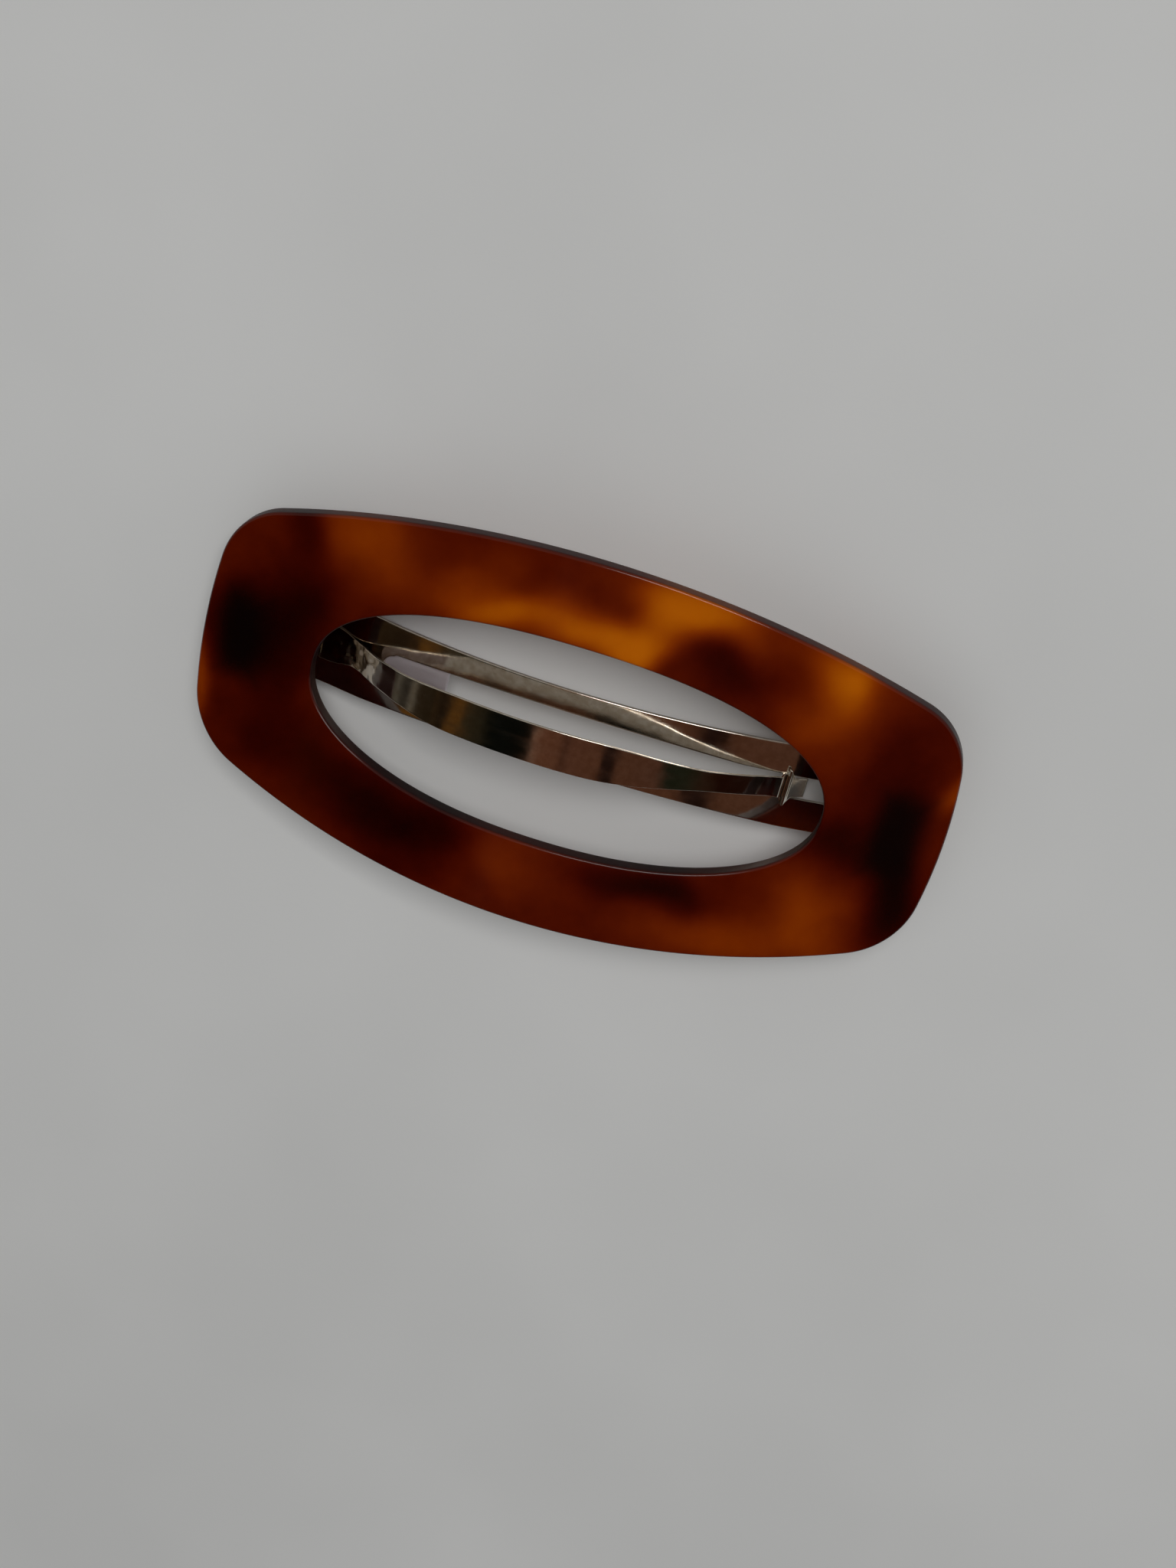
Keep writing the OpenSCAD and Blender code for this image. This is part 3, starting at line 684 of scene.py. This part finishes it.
def armSurface(shape):
    # the path runs from the free end to the hinge, round the knuckle, and back under the arm as
    # the flap; at each place on it the strip reaches from the hole's half width to the outline's
    knuckleOut = shape["knuckleIn"] + shape["thick"]
    bend = np.arcsin(shape["bowHalf"] / shape["bowRadius"])
    bendEnd = shape["bowHalf"] + shape["bendRadius"] * np.sin(bend)
    edge = shape["edge"]
    endSteps = shape["stop"] - shape["endCorner"] * (1 - np.sin(np.linspace(0, quarter, 13)))
    rimSteps = shape["stop"] - edge * (1 - np.sin(np.linspace(0, quarter, 4)))
    slitStart, slitStop = shape["slitX"] - shape["slitHalf"], shape["slitX"] + shape["slitHalf"]
    slit = clustered(slitStart, slitStop, shape["slitCorner"], 5)
    xs = np.concatenate([
        np.arange(shape["knuckleX"], shape["stop"], shape["stepAlong"]), endSteps[:-1], rimSteps,
        slit, clustered(shape["slotStart"], shape["slotStop"], shape["slotEnd"]),
        clustered(shape["catchStart"], shape["catchStop"], shape["holeCorner"], 7),
        shape["wideStart"] + np.array([-0.03, 0, 0.05, 0.15, 0.3, 0.5])])
    xs = np.unique(np.round(xs, 4))[::-1]
    xs = xs[np.concatenate([[True], -np.diff(xs) > 0.008])]
    topPath = np.stack([xs, armTop(xs)], -1)
    turn = np.linspace(0, np.pi, 37)[1:-1]
    rolled = np.stack([shape["knuckleX"] - knuckleOut * np.sin(turn),
                       shape["pinHeight"] + knuckleOut * np.cos(turn)], -1)
    # the fold rises in a cosine from under the knuckle, then lies close under the arm
    foldHigh = shape["endHeight"] - 2 * shape["thick"] - shape["flapGap"]
    foldLow = shape["pinHeight"] - knuckleOut
    under = np.concatenate([np.arange(shape["knuckleX"], shape["flapStop"], 0.4), slit,
                            shape["flapStop"] - edge * (1 - np.sin(np.linspace(0, quarter, 4)))])
    under = np.unique(np.round(under, 4))
    share = np.clip((under - shape["knuckleX"]) / (-bendEnd - shape["knuckleX"]), 0, 1)
    rise = foldLow + (foldHigh - foldLow) * (1 - np.cos(np.pi * share)) / 2
    lower = np.where(under < -bendEnd, rise,
                     armTop(under) - 2 * shape["thick"] - shape["flapGap"])
    foldPath = np.stack([under, lower], -1)
    path = np.concatenate([topPath, rolled, foldPath])
    normal = pathNormals(path, -1)
    x = path[:, 0]
    onTop = np.arange(len(x)) < len(xs)
    outer = waist(x, shape["halfMiddle"], shape["halfEnd"], shape["waistSpan"])
    corner = shape["endCorner"]
    pastCorner = np.clip(x - (shape["stop"] - corner), 0, corner)
    outer = outer - corner + np.sqrt(np.maximum(corner ** 2 - pastCorner ** 2, 0))
    # a rounded shoulder where the arm widens past the knuckle
    corner = shape["shoulderCorner"]
    step = np.clip(shape["wideStart"] + corner - x, 0, corner)
    shoulder = outer - corner + np.sqrt(np.maximum(corner ** 2 - step ** 2, 0))
    outer = np.where(onTop & (x > shape["wideStart"] - hair), shoulder, shape["knuckleHalf"])
    # the flap's free corners are cut with a small radius
    corner = shape["flapCorner"]
    flapEnd = np.clip(x - (shape["flapStop"] - corner), 0, corner)
    flapHalf = outer - corner + np.sqrt(np.maximum(corner ** 2 - flapEnd ** 2, 0))
    outer = np.where(onTop, outer, flapHalf)
    slot = waist(x - shape["slotWaistX"], shape["slotMiddle"], shape["slotEnd"],
                 shape["slotWaistSpan"])
    slotEnds = holeHalf(x, shape["slotStart"], shape["slotStop"], shape["slotEnd"],
                        shape["slotEnd"])
    slotHole = np.where(slotEnds < shape["slotEnd"] - hair / 1000, slotEnds, slot)
    catchHole = holeHalf(x, shape["catchStart"], shape["catchStop"], shape["catchHalf"],
                         shape["holeCorner"])
    slitHole = holeHalf(x, slitStart, slitStop, shape["slitWide"], shape["slitCorner"])
    inner = np.where(onTop, np.maximum(slotHole, catchHole), 0) + slitHole
    inset = np.zeros_like(x)
    for stopX, rows in ((shape["stop"], onTop), (shape["flapStop"], ~onTop)):
        close = rows & (np.abs(x - stopX) < edge)
        short = edge - np.abs(x - stopX)
        inset[close] = (edge - np.sqrt(np.maximum(edge ** 2 - short ** 2, 0)))[close]
    return stripSurface(path, normal, inner, outer, inset, shape["thick"], edge,
                        shape["columns"])


nickelArm = platedSteel("nickelPlatedSpringSteelArm", platingLook, 0.0, (0.12, 1.0, 1.0))
clipArm = makePiece("clipArm", armSurface(armShape), nickelArm, "arm", ["arm"])


def onTheFlap(x, y, z, shape=armShape):
    # 1 on the flap under the arm, between the fold and its free end
    under = z < armTop(x) - shape["thick"] - shape["flapGap"] / 2
    return under & (x > shape["knuckleX"] + 3) & (x < shape["flapStop"] + 0.1)


markCorners(clipArm, "satin", onTheFlap(*cornersOf(clipArm)))
print("arm made")

barShape = {                      # mm
    "crest": 16.25, "crestX": -1.0, "thick": 0.35, "edge": 0.07, "lift": 0.02,
    "leftFall": 0.0085, "shoulderFall": 0.0247, "shoulder": 14.0, "hookX": -33.7, "hookLow": 1.55,
    "hookHalf": 1.6, "hookBend": 0.5, "ridgeX": 27.2, "ridgeHeight": 0.46, "ridgeLong": 1.1,
    "tongueX": 29.5, "tongueDrop": 1.15, "rippleStart": -31.0, "rippleStop": -19.0,
    "ripple": 0.11, "crimpStart": -23.5, "crimpFade": 4.0, "stepAlong": 0.15, "landing": 9,
    "widthBlend": 7, "columns": 9,
}
# half widths along the bar: x, half width
barWidths = [(-34.0, 2.4), (-31.0, 2.4), (-30.2, 2.1), (-29.3, 1.75), (-28.0, 1.65), (-25.0, 1.68),
             (-22.0, 1.85), (-19.0, 2.10), (-16.5, 2.32), (-14.0, 2.43), (-8.0, 2.45), (0.0, 2.45),
             (5.0, 2.42), (9.0, 2.18), (13.0, 1.75), (17.5, 1.32), (22.0, 1.30), (26.2, 1.30),
             (26.6, 1.45), (26.9, 2.05), (27.1, 2.40), (27.35, 2.40), (27.6, 1.95), (28.0, 1.28),
             (29.5, 1.25)]


def barTop(x, shape=barShape):
    # a parabola on each side of the crest, with a steeper shoulder towards the hinge, that
    # lands on the arm and follows it
    span = shape["ridgeX"] - shape["crestX"]
    drop = shape["crest"] - float(armTop(np.array(shape["ridgeX"]))) - shape["thick"]
    rightFall = drop / span ** 2
    left = np.clip(shape["crestX"] - x, 0, None)
    right = np.clip(x - shape["crestX"], 0, None)
    free = (shape["crest"] - rightFall * right ** 2 - shape["leftFall"] * left ** 2
            - shape["shoulderFall"] * np.clip(left - shape["shoulder"], 0, None) ** 2)
    return np.maximum(free, armTop(x) + shape["thick"]) + shape["lift"]


def neckRipple(x, shape):
    # three shallow cross waves, left by pressing the neck, that die away at both ends of it
    span = shape["rippleStop"] - shape["rippleStart"]
    along = np.clip((x - shape["rippleStart"]) / span, 0, 1)
    waves = (1 - np.cos(6 * np.pi * along)) / 2
    return shape["ripple"] * np.sin(np.pi * along) ** 2 * waves


def smoothed(values, reach):
    # a moving average that keeps the ends
    padded = np.concatenate([np.full(reach, values[0]), values, np.full(reach, values[-1])])
    return np.convolve(padded, np.ones(2 * reach + 1) / (2 * reach + 1), "valid")


def barSurface(shape):
    # the path climbs the hook, bends over, follows the bow to the ridge and ends in the tongue
    thick = shape["thick"]
    left = shape["hookX"] - thick / 2
    footTop = float(barTop(np.array(shape["hookX"])))
    bendRadius = shape["hookBend"]
    hookZ = np.linspace(shape["hookLow"], footTop - bendRadius, 9)[:-1]
    turn = np.linspace(0, quarter, 9)
    hook = np.concatenate([
        np.stack([left + 0 * hookZ, hookZ], -1),
        np.stack([left + bendRadius * (1 - np.cos(turn)),
                  footTop - bendRadius + bendRadius * np.sin(turn)], -1)])
    ridgeHalf = shape["ridgeLong"] / 2
    xs = np.arange(left + bendRadius + shape["stepAlong"], shape["ridgeX"] - ridgeHalf - 0.05,
                   shape["stepAlong"])
    run = np.stack([xs, smoothed(barTop(xs), shape["landing"]) + neckRipple(xs, shape)], -1)
    # the ridge is a raised fold across the bar, and the tongue dives through the slot behind it
    railZ = float(armTop(np.array(shape["ridgeX"])))
    base = railZ + thick + shape["lift"]
    foldX = np.linspace(-ridgeHalf, ridgeHalf - 0.1, 21)
    swell = np.cos(np.pi * foldX / shape["ridgeLong"]) ** 2
    ridge = np.stack([shape["ridgeX"] + 0.05 + foldX, base + shape["ridgeHeight"] * swell], -1)
    share = np.linspace(0, 1, 13)[1:]
    endX, endZ = ridge[-1]
    tongue = np.stack([endX + (shape["tongueX"] - endX) * share,
                       endZ - (endZ - base + shape["tongueDrop"] + thick) * share], -1)
    path = np.concatenate([hook, run, ridge, tongue])
    normal = pathNormals(path, 1)
    widths = np.array(barWidths)
    outer = np.interp(path[:, 0], widths[:, 0], widths[:, 1])
    count = len(hook)
    runOuter = outer[count:count + len(run)]
    outer[count:count + len(run)] = smoothed(runOuter, shape["widthBlend"])
    outer[:count] = np.linspace(shape["hookHalf"], widths[0, 1], count)
    zero = np.zeros(len(path))
    return stripSurface(path, normal, zero, outer, zero, thick, shape["edge"], shape["columns"])


nickelBar = platedSteel("nickelPlatedSpringSteelBar", platingLook, 0.0, (0.12, 1.0, 1.0))
tensionBar = makePiece("tensionBar", barSurface(barShape), nickelBar, "arm",
                       ["tension_bar"])
# the mask marks the crimped foot and neck, which are dented and carry painted shade
crimp = (barShape["crimpStart"] - cornersOf(tensionBar)[0]) / barShape["crimpFade"]
markCorners(tensionBar, "crimped", np.clip(crimp, 0, 1))
print("tension bar made")


def turnedSurface(profile, origin, axis, steps=48):
    # a profile of (radius, height) turned once round an axis through the origin
    profile = np.asarray(profile, float)
    axis = np.asarray(axis, float) / np.linalg.norm(axis)
    side = np.cross(axis, (1.0, 0, 0) if abs(axis[0]) < 0.9 else (0, 1.0, 0))
    side /= np.linalg.norm(side)
    other = np.cross(axis, side)
    turn = np.linspace(0, 2 * np.pi, steps, endpoint=False)
    ring = np.cos(turn)[:, None] * side + np.sin(turn)[:, None] * other
    points = (np.asarray(origin, float) + profile[:, None, 1:] * axis
              + profile[:, None, :1] * ring[None])
    return points.reshape(-1, 3), gridFaces(len(profile), steps, True).tolist()


def domedHead(radius, thick, rise, lift):
    # a head's profile from its rim to its pole: a short wall and a low dome
    turn = np.linspace(0, quarter, 9)
    return [(radius * np.cos(a), lift + thick - rise + rise * np.sin(a)) for a in turn]


pinShape = {                      # mm
    "x": -41.2, "height": 1.65, "radius": 0.8, "half": 5.0, "headRadius": 1.15, "head": 0.3,
    "dome": 0.2, "rim": 0.05,
}
pegShape = {                      # mm
    "xs": (-41.6, 41.7), "y": 4.1, "radius": 0.6, "headRadius": 0.85, "head": 0.3,
    "foot": 0.7, "deep": 1.4, "dome": 0.2, "rim": 0.08,
}


def hingePinSurface(shape):
    # one half's profile, from the shaft to the pole of its head, and its mirror image
    rim = [(shape["headRadius"], shape["half"]), (shape["radius"], shape["half"])]
    head = domedHead(shape["headRadius"], shape["head"], shape["dome"], shape["half"])
    upper = rim[::-1] + [(shape["headRadius"], shape["half"] + shape["rim"])] + head
    profile = [(r, -h) for r, h in upper[::-1]] + upper
    return [turnedSurface(profile, (shape["x"], 0, shape["height"]), (0, 1, 0))]


def pegSurfaces(shape, plate):
    # four pegs square to the plate: a shaft from inside the sheet, a foot's thickness, a head
    shells = []
    centre = plate["frontHeight"] - plate["bowRadius"]
    for x in shape["xs"]:
        tilt = np.arcsin(x / plate["bowRadius"])
        axis = np.array([-np.sin(tilt), 0, -np.cos(tilt)])     # out through the back
        for y in (-shape["y"], shape["y"]):
            front = np.array([0, y, centre]) - axis * plate["bowRadius"]
            back = plate["thickness"] + shape["foot"]
            profile = [(0, plate["thickness"] - shape["deep"]),
                       (shape["radius"], plate["thickness"] - shape["deep"]),
                       (shape["radius"], back), (shape["headRadius"], back),
                       (shape["headRadius"], back + shape["rim"])]
            profile += domedHead(shape["headRadius"], shape["head"], shape["dome"], back)
            shells.append(turnedSurface(profile, front, axis, 32))
    return shells


nickelPin = platedSteel("nickelPlatedDrawnPins", platingLook, 0.25, (1.0, 0.12, 1.0))
makePiece("hingePin", hingePinSurface(pinShape), nickelPin, "plate", ["hinge_pin"])
makePiece("fixingPins", pegSurfaces(pegShape, plateShape), nickelPin, "plate",
          ["fixing_pins"])
print("pins made")

stampedParts = {                  # CAD node: piece name, body, width of the broken edge in mm
    "hinge_bracket": ("hingeBracket", "plate", 0.14),
    "clasp_base": ("claspBase", "plate", 0.14),
    "clasp_lever_upper": ("claspLeverUpper", "clasp_lever_upper", 0.07),
    "clasp_lever_lower": ("claspLeverLower", "clasp_lever_lower", 0.07),
}
nickelStamped = platedSteel("nickelPlatedStampedBrackets", platingLook, 0.35, (1.0, 1.0, 0.15))


def stampedPiece(node, name, body, brokenEdge):
    # the CAD solid with its corners merged, its flat faces joined and its edges broken
    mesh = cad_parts[node].data.copy()
    mesh.name = name
    mesh.materials.clear()
    work = bmesh.new()
    work.from_mesh(mesh)
    bmesh.ops.remove_doubles(work, verts=work.verts, dist=weldGap)
    bmesh.ops.dissolve_limit(work, angle_limit=0.004, verts=work.verts, edges=work.edges)
    work.to_mesh(mesh)
    work.free()
    mesh.polygons.foreach_set("use_smooth", np.ones(len(mesh.polygons), bool))
    piece = bpy.data.objects.new(name, mesh)
    bpy.context.scene.collection.objects.link(piece)
    mesh.materials.append(nickelStamped)
    bevel = piece.modifiers.new("brokenEdge", "BEVEL")
    bevel.width = brokenEdge * mm
    bevel.segments = 3
    bevel.limit_method = "ANGLE"
    bevel.angle_limit = np.radians(35)
    bevel.harden_normals = True
    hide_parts(node)
    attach(piece, body)


for nodeName, (pieceName, bodyName, edgeWidth) in stampedParts.items():
    stampedPiece(nodeName, pieceName, bodyName, edgeWidth)
print("brackets and clasp made")
